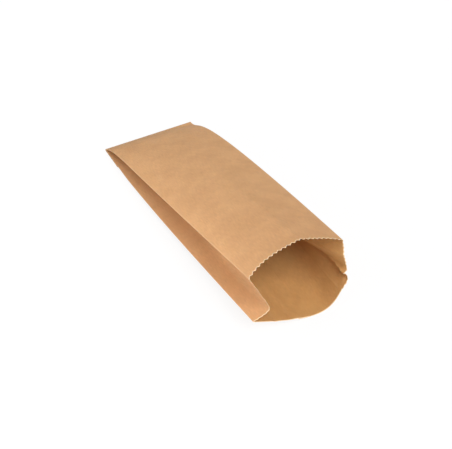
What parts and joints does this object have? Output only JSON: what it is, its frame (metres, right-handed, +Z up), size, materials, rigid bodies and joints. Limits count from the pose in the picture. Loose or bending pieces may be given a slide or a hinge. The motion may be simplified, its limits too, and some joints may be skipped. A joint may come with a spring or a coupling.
{
  "type": "paper bag",
  "caption": "Narrow brown kraft paper bag with side gussets and a turned-under flat bottom, lying on its back with its toothed mouth open.",
  "frame": {"origin": "on the surface the bag lies on, under the middle of its bounding box", "axes": "-Y out of the open mouth, +Y towards the turned-under bottom end, +Z up from the back panel to the front panel, +X to the right when the mouth faces the viewer"},
  "size_m": [0.1006, 0.2869, 0.0826],
  "materials": {
    "kraft_paper": "matt, fine fibres, faint lengthwise streaks"
  },
  "bodies": {
    "root": {"paper_bag": "kraft_paper"}
  },
  "joints": []
}
